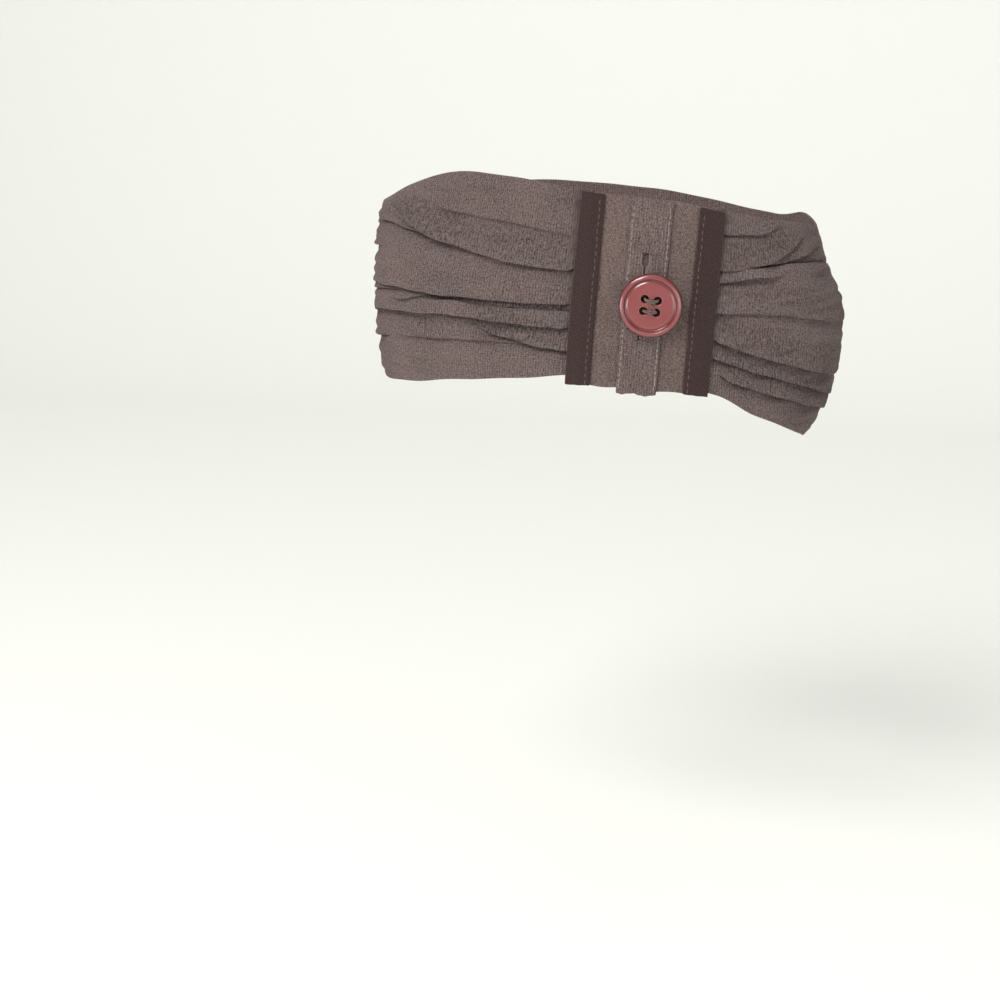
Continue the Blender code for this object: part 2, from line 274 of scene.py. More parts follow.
def turn_at(along, height):
    """The turn at a distance from the tab's middle line. Past the seams, the distance is
    stretched in the ratio of the laps, so that every ring closes at the same seam."""
    along, height = np.broadcast_arrays(np.asarray(along, float), np.asarray(height, float))
    place = np.clip((height - LEVELS[0]) / (LEVELS[1] - LEVELS[0]), 0, len(LEVELS) - 1.001)
    level = place.astype(int)
    part = place - level
    turns = np.empty((2,) + along.shape)
    for k in np.unique(level):
        chosen = level == k
        for side in (0, 1):
            lap = LAPS[k + side]
            stretch = (lap - 2 * SEAM) / (LAP - 2 * SEAM)
            here = along[chosen]
            here = np.where(here > SEAM, SEAM + (here - SEAM) * stretch, here)
            turns[side][chosen] = np.interp(here, lengths[k + side], TURNS)
    return (1 - part) * turns[0] + part * turns[1]


def cloth_points(along, height, out):
    """Points on the cuff's outer side, moved out square to the ring, then leaned, in metres."""
    turn = turn_at(along, height)
    x, y = ring_point(turn, height)
    x_on, y_on = ring_point(turn + HALF_CHORD, height)
    x_off, y_off = ring_point(turn - HALF_CHORD, height)
    run = np.hypot(x_on - x_off, y_on - y_off)
    x, y = x + out * (y_off - y_on) / run, y + out * (x_on - x_off) / run
    return lean(np.stack([x, y, height + 0 * x], -1))


def lean(points):
    """Turned about the Y axis so that the back sits lower, and put in metres."""
    c, s = math.cos(LEAN), math.sin(LEAN)
    x, y, z = points[..., 0], points[..., 1], points[..., 2]
    return np.stack([x * c + z * s, y, -x * s + z * c], -1) * MM


# %% [markdown]
# Every cloth piece is one closed loop of rows carried along the cloth: up the outer side, over a
# round rim, down the inner side and round the lower rim. The ends are closed too, so that the
# piece is a solid wall of cloth with no raw sheet showing. A flat sheet thickened by a modifier
# would have square rims, and jersey turned in at an edge is round.

# %% Surface helpers
def closed_faces(index):
    """Faces over a grid of point numbers whose rows close on themselves: each joins a point to the
    next in its row and column, and the last two close the ends."""
    around = np.concatenate([index, index[:, :1]], axis=1)
    quads = np.stack([around[:-1, :-1], around[:-1, 1:], around[1:, 1:], around[1:, :-1]], -1)
    return quads.reshape(-1, 4).tolist() + [index[0][::-1].tolist(), index[-1].tolist()]


def grid_mesh(name, points, uv=None, fields=None):
    """An object from a grid of points (columns, rows, 3), with a map and fields of numbers."""
    columns, rows = points.shape[:2]
    faces = closed_faces(np.arange(columns * rows).reshape(columns, rows))
    made = new_object(name, points.reshape(-1, 3), faces, flat_faces=2)
    mesh = made.data
    if uv is not None:
        grid = np.concatenate([uv, uv[:, :1] + [0.0, 1.0] * (uv[:, -1:] - uv[:, :1])], axis=1)
        corners = np.stack([grid[:-1, :-1], grid[:-1, 1:], grid[1:, 1:], grid[1:, :-1]], 2)
        ends = np.concatenate([uv[0][::-1], uv[-1]])
        layer = mesh.uv_layers.new(name="cloth_mm")
        layer.data.foreach_set("uv", np.concatenate([corners.reshape(-1, 2), ends]).ravel())
    for key, values in (fields or {}).items():
        attribute = mesh.attributes.new(key, "FLOAT", "POINT")
        attribute.data.foreach_set("value", values.astype(np.float32).ravel())
    mesh.update()
    return made


RIM_STEPS = 5


def cloth_wall(name, along, height, out, inner_height, inner_out, fields=None):
    """A closed wall: outer rows upwards, half a circle over the rim, inner rows downwards, and
    half a circle under the lower edge. The pattern's v runs with the length of cloth."""
    def rim(z_from, o_from, z_to, o_to, way):
        """Half circle between the two sides: height goes with sine and reach with cosine."""
        angle = np.linspace(0, math.pi, RIM_STEPS + 2)[1:-1]
        half = np.abs(o_from - o_to) / 2
        middle_out, middle_z = (o_from + o_to) / 2, (z_from + z_to) / 2
        turn = np.cos(angle)
        o = middle_out[:, None] + (o_from - middle_out)[:, None] * turn
        z = middle_z[:, None] + (z_from - middle_z)[:, None] * turn
        return z + way * half[:, None] * np.sin(angle), o

    over = rim(height[:, -1], out[:, -1], inner_height[:, 0], inner_out[:, 0], 1)
    under = rim(inner_height[:, -1], inner_out[:, -1], height[:, 0], out[:, 0], -1)
    z = np.concatenate([height, over[0], inner_height, under[0]], axis=1)
    o = np.concatenate([out, over[1], inner_out, under[1]], axis=1)
    points = cloth_points(np.broadcast_to(along[:, None], z.shape), z, o)
    steps = np.linalg.norm(np.diff(points, axis=1), axis=2) / MM
    run = np.concatenate([np.zeros((len(along), 1)), np.cumsum(steps, axis=1)], axis=1)
    uv = np.stack([np.broadcast_to(along[:, None], z.shape), run], -1)
    full = {}
    for key, values in (fields or {}).items():
        full[key] = np.zeros(z.shape)
        full[key][:, : values.shape[1]] = values
    return grid_mesh(name, points, uv, full)


print("a wall has", 2 * RIM_STEPS, "rows in its two rims")


# %% [markdown]
# The band's folds are set in a table, one row for each crease. The cloth above a crease
# bulges and drops over it as a lip, and the cloth below starts deep behind the lip and comes out
# slowly. Where the lower layer laps over the upper one, the same shape is turned upside down.
# A cloth simulation would gather the band too, but its folds would fall anywhere, and these lie
# where they are wanted. A row says which seam the crease is measured from, where it starts and
# ends along the cloth, its height at four even places, how deep it is, how far its lip drops, how
# wide the step between the two is, how far each side reaches before it dies away, which layer laps
# over the other, and how much the cloth puckers there.

# %% Table of creases
TO_FRONT, TO_BACK = 1, -1
OVER, UNDER = 1, -1
CREASE_COLUMNS = "way start end z1 z2 z3 z4 depth lip sharp down up laps pucker"
CREASES = [
    (TO_FRONT, 20, 84, 24.6, 26.6, 28.2, 29.0, 0.9, 0.3, 1.5, 3.0, 4.5, OVER, 0.1),
    (TO_FRONT, 19, 99, 15.4, 16.6, 20.9, 27.8, 2.5, 1.8, 0.7, 4.5, 4.5, OVER, 1.0),
    (TO_FRONT, 58, 114, 16.6, 19.4, 21.3, 20.0, 1.5, 1.1, 0.7, 2.6, 2.0, OVER, 0.5),
    (TO_FRONT, 19, 114, 4.6, 2.8, 1.7, -0.4, 1.5, 0.8, 0.7, 1.6, 4.0, OVER, 0.0),
    (TO_FRONT, 79, 116, 1.5, -0.4, -2.6, -4.8, 1.2, 0.6, 0.6, 1.4, 1.4, OVER, 0.4),
    (TO_FRONT, 61, 88, 2.0, 0.9, -1.2, -2.7, 0.9, 0.4, 0.5, 1.0, 1.0, OVER, 0.3),
    (TO_FRONT, 19, 80, 2.1, 1.1, 0.5, -1.4, 1.2, 0.5, 0.6, 1.6, 1.4, UNDER, 0.9),
    (TO_FRONT, 19, 110, -2.8, -2.8, -5.0, -11.0, 2.3, 1.2, 0.6, 3.4, 2.0, OVER, 0.0),
    (TO_FRONT, 19, 58, -10.2, -8.8, -6.8, -4.4, 1.7, 1.2, 0.7, 3.2, 3.0, OVER, 0.9),
    (TO_FRONT, 26, 88, -9.4, -10.2, -12.2, -14.4, 1.0, 0.5, 1.1, 3.4, 3.5, OVER, 0.7),
    (TO_FRONT, 86, 128, -15.0, -17.0, -17.6, -16.6, 1.4, 0.8, 0.9, 2.6, 2.6, OVER, 0.3),
    (TO_FRONT, 94, 130, 13.0, 11.6, 11.2, 12.4, 1.5, 0.8, 0.9, 2.6, 2.6, OVER, 0.0),
    (TO_FRONT, 104, 192, 19.0, 15.0, 12.0, 9.0, 2.3, 1.4, 0.8, 4.0, 4.0, OVER, 0.6),
    (TO_FRONT, 100, 176, -9.0, -12.0, -10.0, -7.0, 2.2, 1.3, 0.8, 3.6, 3.6, OVER, 0.5),
    (TO_FRONT, 138, 242, 20.0, 17.5, 16.0, 18.0, 2.0, 1.2, 0.9, 3.6, 4.0, OVER, 0.3),
    (TO_FRONT, 168, 262, 2.5, 4.5, 2.0, -3.0, 2.3, 1.4, 0.7, 3.8, 3.8, OVER, 0.8),
    (TO_FRONT, 150, 226, -2.5, -2.0, -4.0, -8.5, 1.5, 0.8, 0.7, 2.4, 2.4, UNDER, 0.0),
    (TO_FRONT, 184, 290, -12.0, -14.5, -18.0, -25.0, 2.2, 1.4, 0.8, 3.4, 3.6, OVER, 0.5),
    (TO_FRONT, 232, 300, 10.0, 13.0, 17.0, 21.5, 1.9, 1.1, 0.8, 3.2, 3.2, OVER, 0.6),
    (TO_FRONT, 252, 308, -5.0, -8.0, -11.5, -15.0, 1.9, 1.2, 0.8, 3.2, 3.2, OVER, 0.4),
    (TO_FRONT, 204, 288, 23.0, 22.4, 22.6, 24.6, 1.1, 0.5, 1.2, 2.8, 3.0, OVER, 0.0),
    (TO_BACK, 19, 47, 29.0, 29.2, 30.2, 32.2, 1.1, 0.8, 0.7, 2.2, 2.0, OVER, 0.0),
    (TO_BACK, 19, 57, 18.2, 19.8, 23.2, 30.2, 1.8, 1.1, 0.7, 2.4, 3.4, OVER, 1.0),
    (TO_BACK, 36, 66, 19.4, 21.4, 23.6, 26.8, 1.7, 0.9, 0.6, 2.0, 2.0, OVER, 0.0),
    (TO_BACK, 19, 84, 17.2, 19.3, 19.6, 16.4, 1.5, 1.0, 0.6, 2.0, 2.0, UNDER, 0.2),
    (TO_BACK, 19, 46, 13.8, 15.4, 16.4, 16.8, 1.5, 0.9, 0.7, 3.6, 2.0, OVER, 0.0),
    (TO_BACK, 19, 88, 5.6, 5.4, 2.8, -0.6, 1.1, 0.5, 1.2, 3.4, 3.8, OVER, 0.6),
    (TO_BACK, 19, 86, -0.8, -7.2, -12.2, -15.4, 2.5, 1.8, 0.7, 4.2, 4.2, OVER, 0.9),
    (TO_BACK, 19, 86, -7.0, -13.2, -18.8, -25.2, 1.7, 1.0, 0.7, 2.8, 3.0, OVER, 0.0),
    (TO_BACK, 24, 88, -13.4, -19.6, -24.6, -29.0, 2.1, 1.3, 0.7, 3.2, 2.2, OVER, 0.9),
]
CREASES = [dict(zip(CREASE_COLUMNS.split(), row)) for row in CREASES]
NEAR_SEAM = 30
print(len(CREASES), "creases")


def crease_line(crease, along):
    """The crease's height on each column, and how far it has faded in there. One that starts at
    a seam is there almost at once, and any other comes in slowly. All of them die away slowly."""
    way = along if crease["way"] == TO_FRONT else LAP - along
    share = (way - crease["start"]) / (crease["end"] - crease["start"])
    heights = [crease[key] for key in ("z1", "z2", "z3", "z4")]
    inside = np.clip(share, 0, 1)
    fade_in = np.clip(inside * (14 if crease["start"] < NEAR_SEAM else 5), 0, 1)
    fade_out = np.clip((1 - inside) * 3.6, 0, 1)
    fade = eased(fade_in * fade_out) * ((share > 0) & (share < 1))
    wander = 0.35 * np.sin(way / 5.3 + crease["z1"]) + 0.2 * np.sin(way / 2.1 + crease["z4"])
    return smooth((0, 1 / 3, 2 / 3, 1), heights, inside) + wander * inside, fade


def fold(along, height):
    """How far the cloth moves out and up, how much it puckers, and how much painted shade
    darkens its colour just under each lip. With x the distance above the crease, a smooth step
    goes from the trough to the lip, and each side dies away as an exponential of x."""
    out, rise, pucker, shade = (np.zeros_like(height) for _ in range(4))
    for crease in CREASES:
        line, fade = crease_line(crease, along)
        if not fade.any():
            continue
        x = crease["laps"] * (height - line[:, None])
        fade = fade[:, None]
        step = eased(np.clip(x / crease["sharp"] + 0.5, 0, 1))
        below = np.exp(-((np.maximum(-x, 0) / crease["down"]) ** 1.5))
        above = np.exp(-np.maximum(x, 0) / crease["up"])
        out += fade * crease["depth"] * (0.34 * step * above - (1 - step) * below)
        tuck = 0.35 * (1 - step) * np.exp(-np.maximum(-x, 0) / (0.5 * crease["down"]))
        rise += crease["laps"] * fade * crease["lip"] * (tuck - step * above)
        if crease["laps"] == OVER:
            belly = np.exp(-(((x - 4.6) / 4.0) ** 4))
        else:
            belly = np.exp(-(((x + 1) / 1.2) ** 2))
        pucker += fade * crease["pucker"] * belly
        # Painted shade: the colour is darkened in the trough just under each lip, where its shadow
        # falls.
        shade += fade * crease["depth"] * (1 - step) * np.exp(-np.maximum(-x, 0) / 0.7)
    return out, rise, pucker, shade


# %% Fine wrinkles
WAVES, WRINKLE_DEPTH = 16, 0.11
wave_height = rng.uniform(1.9, 5.2, WAVES)
wave_length = rng.uniform(36, 95, WAVES) * rng.choice([-1, 1], WAVES)
wave_phase = rng.uniform(0, 2 * math.pi, (3, WAVES))
wave_fade = rng.uniform(16, 46, WAVES)


def wrinkles(along, height):
    """A sum of long low waves, each of its own pitch up the band, strong in some stretches."""
    total = np.zeros_like(height)
    for k in range(WAVES):
        cycles = height / wave_height[k] + along / wave_length[k]
        bend = 1.3 * np.sin(along / 23 + wave_phase[2, k])
        wave = np.sin(2 * math.pi * cycles + wave_phase[0, k] + bend)
        strength = np.clip(np.sin(along / wave_fade[k] * 2 + wave_phase[1, k] + height / 9), 0, 1)
        total += wave_height[k] / 4 * strength * wave
    return total * WRINKLE_DEPTH


print("wrinkles stand", np.round([wave_height.min(), wave_height.max()], 1), "mm apart")


# %% [markdown]
# The band itself is one length of jersey, longer than the ring it goes round, and its seams at the
# tab hold it gathered. Its columns stand closer on the side that shows the tab, and its rows crowd
# towards the creases, so that the lips are round and the plain stretches stay light. An even grid
# as fine as that would have more than twice the faces.

# %% Ruched band
OUTER_ROWS, INNER_ROWS = 196, 20
FINE_TO_FRONT, FINE_TO_BACK = 118, 96
FINE, COARSE = 0.8, 1.6
seam = SEAM + 0.2
columns = np.concatenate(
    [
        np.arange(seam, FINE_TO_FRONT, FINE),
        np.arange(FINE_TO_FRONT, LAP - FINE_TO_BACK, COARSE),
        np.arange(LAP - FINE_TO_BACK, LAP - seam, FINE),
        [LAP - seam],
    ]
)
edge_wave = 0.2 * np.sin(columns / 7.1) + 0.14 * np.sin(columns / 3.3 + 1.0)
bottom = edge_at(turn_at(columns, 0.0), "bottom") + edge_wave
top = edge_at(turn_at(columns, 0.0), "top") + 0.5 * edge_wave


def crowded_rows(bottom, top, count):
    """Rows whose spacing follows a density: even, with a bell at every crease that is there."""
    share = np.linspace(0, 1, 700)
    z = bottom[:, None] + (top - bottom)[:, None] * share
    density = np.full(z.shape, 0.55)
    for crease in CREASES:
        line, fade = crease_line(crease, columns)
        density += fade[:, None] * 1.5 * np.exp(-(((z - line[:, None]) / 1.1) ** 2))
    total = np.cumsum(density, axis=1)
    total = (total - total[:, :1]) / (total[:, -1:] - total[:, :1])
    wanted = np.linspace(0, 1, count)
    return np.stack([np.interp(wanted, total[c], z[c]) for c in range(len(z))])


height = crowded_rows(bottom, top, OUTER_ROWS)
fold_out, fold_rise, pucker, shade = fold(columns, height)
to_edge = np.minimum(height - bottom[:, None], top[:, None] - height)
along_grid = np.broadcast_to(columns[:, None], height.shape)
from_seam = np.minimum(columns - SEAM, LAP - SEAM - columns)[:, None]
print("band", len(columns), "columns of", OUTER_ROWS, "rows")

# %% How far the band stands out
EDGE_CALM = 3.0
PUCKER_PITCH, PUCKER_DEPTH, MOST_PUCKER = 3.1, 0.17, 1.1
DEEPEST = 3.3

# The folds die away towards both hems, where the cloth is held down by its turned edge.
calm = eased(np.clip(to_edge / EDGE_CALM, 0, 1))
# Short gathers run into the seam, and small upright puckers stand on the bellies of the folds.
gather_way = height * 2.1 + 1.5 * np.sin(height / 3.0) + from_seam / 14
gathers = 0.28 * np.exp(-from_seam / 9.0) * np.sin(gather_way)
crinkle_way = 2 * math.pi * along_grid / PUCKER_PITCH + 1.7 * np.sin(height / 2.1 + along_grid / 11)
crinkle_part = 0.6 + 0.4 * np.sin(height / 1.7 + along_grid / 3.7)
crinkle = PUCKER_DEPTH * np.minimum(pucker, MOST_PUCKER) * np.sin(crinkle_way) * crinkle_part
hem_roll = 0.3 * np.exp(-((to_edge / 2.2) ** 2))
out = (fold_out + gathers + crinkle + 1.2 * wrinkles(along_grid, height)) * calm - hem_roll
# Under the ribbon the cloth lies flatter, and near it no fold may stand up through the tape.
out = out * np.clip((from_seam - 0.5) / 4.0, 0.25, 1)
limit = 0.15 + 1.2 * np.clip((from_seam - 3.0) / 8.0, 0, 1)
out = np.where(out > 0, limit * np.tanh(out / limit), out)
out = np.maximum(out, -DEEPEST)
print("the band's outer side goes from and to", np.round([out.min(), out.max()], 2), "mm")

# %% How far the lips drop, and the inner side
FRONT_END, FRONT_SPREAD = 108, 13.0
RIM_WALL, MORE_WALL = 1.3, 2.0

rise = fold_rise * calm * np.clip(from_seam / 6.0, 0.4, 1)
# At the front of the boot the ring bends most, and a long lip would stick out of its outline.
front_end = np.exp(-(((columns - FRONT_END) / FRONT_SPREAD) ** 2))[:, None]
rise = rise * (1 - 0.7 * front_end)
inner_share = np.linspace(1, 0, INNER_ROWS)
inner_height = bottom[:, None] + (top - bottom)[:, None] * inner_share
inner_edge = np.minimum(inner_height - bottom[:, None], top[:, None] - inner_height)
inward = np.clip(inner_edge / 6.0, 0, 1)
inner_out = (0.3 * fold(columns, inner_height)[0] - MORE_WALL) * inward - RIM_WALL
# The shade field is painted shade: it darkens the band's colour just under each crease lip.
band = cloth_wall(
    "band_cloth", columns, height + rise, out, inner_height, inner_out,
    {"pucker": pucker * calm, "shade": np.clip(shade * calm, 0, 3)},
)
print("band", len(band.data.polygons), "faces")


# %% [markdown]
# The tab is flat cloth on the same ring, a little puffed between its seams. The placket is a
# narrower strip on it, and the ribbons lie over the seams. They could be boxes bent round the
# ring, but all are strips of the same kind, so one function makes them. Their long edges are
# rounded by letting the wall close up over its last half millimetre.

# %% Strips
CROWDING, EDGE_ROUND = 1.35, 0.6


def strip(name, middle, width, wall, lift, bottom_at, top_at, columns_n, rows_n, relief):
    """An upright strip: across is even but closer at the edges, and the wall is a half ellipse
    there. Relief is a function of across and height that moves both of its sides out."""
    even = np.linspace(-1, 1, columns_n)
    side = np.sign(even) * (1 - (1 - np.abs(even)) ** CROWDING)
    across = side * width / 2
    edge = np.clip((width / 2 - np.abs(across)) / (wall * EDGE_ROUND), 0, 1)
    thick = wall * np.sqrt(np.clip(1 - (1 - edge) ** 2, 0.01, 1))
    share = np.linspace(0, 1, rows_n)
    low, high = bottom_at(across), top_at(across)
    z = low[:, None] + (high - low)[:, None] * share
    middle_out = lift + wall / 2 + relief(across[:, None] + 0 * z, z)
    half = thick[:, None] / 2
    return cloth_wall(
        name, middle + across, z, middle_out + half, z[:, ::-1], (middle_out - half)[:, ::-1]
    )


def tab_top(across):
    """Height of the upper edge across the tab, from the band's own edge."""
    return edge_at(turn_at(across, 0.0), "top") - 0.4


TAB_BOTTOM, TAB_WALL, TAB_LIFT = -20.2, 1.2, -1.3


def tab_relief(across, height):
    """A slow swell between the seams, with a hollow wave down one side."""
    puff = 0.35 * (1 - (across / SEAM) ** 4)
    return puff + 0.12 * np.sin(height / 6.5 + across / 5.0) + 0.05 * np.sin(height / 2.3 - across)


tab = strip(
    "tab_cloth", 0.0, 2 * SEAM, TAB_WALL, TAB_LIFT,
    lambda a: TAB_BOTTOM + 0.6 + 0.25 * np.sin(a / 2.3), tab_top, 60, 90, tab_relief,
)
print("tab", len(tab.data.polygons), "faces")

# %% Placket
PLACKET_MIDDLE, PLACKET_WIDTH, PLACKET_WALL = -0.1, 12.3, 0.85
STITCH_INSET, STITCH_PITCH = 0.75, 1.75


def placket_relief(across, height):
    """The tab's swell, plus a furrow with dimples where each row of stitches pulls it down."""
    inset = PLACKET_WIDTH / 2 - STITCH_INSET
    furrow = np.exp(-(((np.abs(across) - inset) / 0.4) ** 2))
    dimple = 0.7 + 0.3 * np.cos(2 * math.pi * height / STITCH_PITCH)
    folds = 0.07 * np.sin(height * 1.3 + 2 * np.sin(across))
    folds += 0.05 * np.sin(across * 2.4 + height / 5)
    return tab_relief(across + PLACKET_MIDDLE, height) - 0.22 * furrow * dimple + folds


placket = strip(
    "placket_cloth", PLACKET_MIDDLE, PLACKET_WIDTH, PLACKET_WALL, 0.0,
    lambda a: TAB_BOTTOM - 0.9 + 0.28 * np.sin(a * 0.9 + 0.6) + 0.08 * np.sin(a * 2.7), tab_top,
    44, 200, placket_relief,
)
print("placket", len(placket.data.polygons), "faces")

# %% Ribbons
RIBBON_WIDTH, RIBBON_WALL = 7.7, 0.6


def ribbon_relief(across, height):
    """A tape that lies over a seam: a low swell on the seam and a slow ripple down its length."""
    return 0.42 + 0.16 * np.exp(-((across / 1.6) ** 2)) + 0.08 * np.sin(height / 4.3 + across / 3)


ribbons = [
    strip(
        name, middle, RIBBON_WIDTH, RIBBON_WALL, 0.0,
        lambda a, tilt=tilt: TAB_BOTTOM + 0.1 + tilt * a + 0.04 * np.sin(a * 2),
        lambda a, middle=middle: tab_top(a + middle) + 0.15, 22, 120, ribbon_relief,
    )
    for name, middle, tilt in (
        ("ribbon_front_tape", SEAM, -0.06), ("ribbon_back_tape", -SEAM, 0.05)
    )
]
print("ribbons", [len(ribbon.data.polygons) for ribbon in ribbons], "faces")


# %% [markdown]
# The button is a moulded disc with a flat middle, a groove and a round rim, so it is a turned
# profile, as if made on a lathe. Its four holes are cut through with flared cutters, so that their
# lips are soft. It lies on the placket, square to it.

# %% Button place
BUTTON_ALONG, BUTTON_HEIGHT = -2.3, 6.8
BUTTON_OUT = 2.0
BUTTON_TURN = math.radians(-3.0)


def seat(along, height, out, spin):
    """Frame on the cloth: Z out of it, Y up it, X along it, from nearby points on the cloth."""
    nearby = cloth_points([along, along, along - 1.0], [height, height + 1.0, height], [out] * 3)
    here, up, right = nearby
    y = Vector(up - here).normalized()
    z = Vector(right - here).cross(y).normalized()
    place = Matrix((y.cross(z), y, z)).transposed().to_4x4()
    place.translation = here
    return place @ Matrix.Rotation(spin, 4, "Z")


button_place = seat(BUTTON_ALONG, BUTTON_HEIGHT, BUTTON_OUT, BUTTON_TURN)
print("button at", tuple(round(v, 4) for v in button_place.translation))


def put(points, place):
    """Points in millimetres of a seat's frame, carried to the world in metres."""
    matrix = np.array(place)
    return points * MM @ matrix[:3, :3].T + matrix[:3, 3]


def turned(name, radius, depth, steps):
    """A closed turned mesh: the profile's radius times cosine and sine of the turn."""
    angle = np.linspace(0, 2 * math.pi, steps, endpoint=False)
    x = radius[None, :] * np.cos(angle)[:, None]
    y = radius[None, :] * np.sin(angle)[:, None]
    points = np.stack([x, y, np.broadcast_to(depth, x.shape)], -1).reshape(-1, 3)
    index = np.arange(len(points)).reshape(steps, len(radius))
    return new_object(name, points, closed_faces(index.T))


def cut_out(piece, cutters):
    """Takes the cutters' shapes out of the piece for good, and removes them."""
    for cutter in cutters:
        cut = piece.modifiers.new("cut", "BOOLEAN")
        cut.operation, cut.object = "DIFFERENCE", cutter
    bpy.context.view_layer.update()
    graph = bpy.context.evaluated_depsgraph_get()
    left = bpy.data.meshes.new_from_object(piece.evaluated_get(graph))
    piece.modifiers.clear()
    piece.data = left
    for cutter in cutters:
        bpy.data.objects.remove(cutter)


# %% Turn the button
BUTTON_PROFILE = np.array([  # distance from the middle, height: along the face, over the rim, back
    (0, 2.2), (2, 2.2), (4, 2.2), (6.3, 2.2), (6.85, 2.17), (7.15, 2.04), (7.4, 1.95),
    (7.65, 2.05), (7.9, 2.38), (8.15, 2.68), (8.4, 2.82), (8.8, 2.72), (9.2, 2.50), (9.47, 2.12),
    (9.6, 1.5), (9.55, 0.85), (9.3, 0.4), (8.8, 0.12), (8.0, 0.0), (5.0, 0.0),
])
stations = np.arange(len(BUTTON_PROFILE))
fine = np.linspace(0, len(BUTTON_PROFILE) - 1, 96)
profile_r, profile_z = (smooth(stations, column, fine)[::-1] for column in BUTTON_PROFILE.T)
button = turned("button_turned", np.maximum(profile_r, 0.02), profile_z, 128)
print("button profile", len(fine), "points")

# %% Cut the button's holes
HOLE_ACROSS, HOLE_UP = 3.9 / 2, 3.6 / 2
HOLE_FLARE = np.array([  # radius, height: straight through the disc, then wider at the face
    (1.15, -1.0), (1.15, 0.0), (1.15, 1.6), (1.19, 1.9), (1.27, 2.08), (1.42, 2.2), (1.9, 2.6),
])
hole_cutters = []
for x in (-HOLE_ACROSS, HOLE_ACROSS):
    for y in (-HOLE_UP, HOLE_UP):
        hole_cutters.append(turned("hole_cutter", *HOLE_FLARE.T, 32))
        hole_cutters[-1].data.transform(Matrix.Translation((x, y, 0)))
cut_out(button, hole_cutters)
whole = button.data
corner = np.empty(len(whole.vertices) * 3)
whole.vertices.foreach_get("co", corner)
reach = whole.attributes.new("from_middle", "FLOAT", "POINT")
reach.data.foreach_set("value", np.hypot(corner[0::3], corner[1::3]).astype(np.float32))
whole.transform(Matrix.Scale(MM, 4))
whole.transform(button_place)
whole.set_sharp_from_angle(angle=math.radians(40))
print("button", len(whole.polygons), "faces")


# %% [markdown]
# Sewing thread is a tube swept along a short route, thickened and thinned along its length as a
# plied thread is. A curve with a round bevel would be plain all along, so the tube is worked out
# point by point. All the strands that hold the button are joined, and so is each set of stitches.

# %% Tubes
PLY_TWIST = 5.0


def tube(route, radius, sides, ply):
    """Points of a tube: at each route point a circle square to the route's direction, whose
    radius swells with the cosine of twice the turn plus the distance, as two twisted plies do."""
    route = np.asarray(route, float)
    ahead = np.gradient(route, axis=-2)
    ahead /= np.linalg.norm(ahead, axis=-1, keepdims=True)
    aside = np.cross(ahead, np.broadcast_to([0.13, 0.21, 0.97], ahead.shape))
    aside /= np.linalg.norm(aside, axis=-1, keepdims=True)
    other = np.cross(ahead, aside)
    angle = np.linspace(0, 2 * math.pi, sides, endpoint=False)
    steps = np.linalg.norm(np.diff(route, axis=-2), axis=-1)
    run = np.concatenate([np.zeros(steps.shape[:-1] + (1,)), np.cumsum(steps, axis=-1)], axis=-1)
    swell = radius * (1 + ply * np.cos(2 * angle + run[..., None] * PLY_TWIST))
    cos, sin = np.cos(angle)[:, None], np.sin(angle)[:, None]
    circle = cos * aside[..., None, :] + sin * other[..., None, :]
    return route[..., None, :] + swell[..., None] * circle


def face_out(mesh):
    """Recalculates normals, so that every closed shape faces outwards."""
    work = bmesh.new()
    work.from_mesh(mesh)
    bmesh.ops.recalc_face_normals(work, faces=work.faces)
    work.to_mesh(mesh)
    work.free()


def tubes_mesh(name, tubes):
    """One object from many tubes, each (stations, sides, 3), its ends closed by one face."""
    faces, count = [], 0
    for grid in tubes:
        stations, sides = grid.shape[:2]
        faces += closed_faces(np.arange(stations * sides).reshape(stations, sides) + count)
        count += stations * sides
    made = new_object(name, np.concatenate([grid.reshape(-1, 3) for grid in tubes]), faces)
    face_out(made.data)
    return made


# %% Button thread
FACE = 2.2
THREAD = 0.25
HELD_BACK = 0.3 - FACE
ARCH = np.array([  # share of the way, lift over the face
    (0, HELD_BACK), (0, -0.35), (0.06, 0.22), (0.2, 0.52), (0.35, 0.6), (0.5, 0.62),
    (0.65, 0.6), (0.8, 0.52), (0.94, 0.22), (1, -0.35), (1, HELD_BACK),
])


def strand(first, last, offset, sag):
    """Route of one strand from hole to hole: up, a flat arch over the face, and down."""
    (x0, y0), (x1, y1) = first, last
    share, lift = ARCH.T
    bow = np.sin(math.pi * share)
    x = x0 + (x1 - x0) * share
    y = y0 + (y1 - y0) * share + offset * (0.4 + 0.6 * bow) - sag * bow
    dense = np.linspace(0, len(share) - 1, 41)
    keys = np.arange(len(share))
    return np.stack([smooth(keys, values, dense) for values in (x, y, FACE + lift)], -1)


back_top, front_top = (-HOLE_ACROSS, HOLE_UP), (HOLE_ACROSS, HOLE_UP)
back_low, front_low = (-HOLE_ACROSS, -HOLE_UP), (HOLE_ACROSS, -HOLE_UP)
from_under = (-HOLE_ACROSS + 1.3, HOLE_UP - 0.9)
strands = [
    strand(back_top, front_top, 0.12, 0.25),
    strand(back_top, front_top, -0.3, 0.5),
    strand(back_low, front_low, -0.22, 0.1),
    strand(back_low, front_low, 0.2, -0.1),
    strand(from_under, front_low, 0.1, 0.0),
]
thread = tubes_mesh(
    "button_thread", [put(tube(route, THREAD, 10, 0.1), button_place) for route in strands]
)
print("button thread", len(thread.data.polygons), "faces")


# %% [markdown]
# Each edge of the placket and each ribbon is sewn down with a row of running stitches. On the real
# thing they are short straight lengths of thread that dip into the cloth at both ends. A stripe in
# the cloth's colour would look flat from the side, so each stitch is a small arched tube.

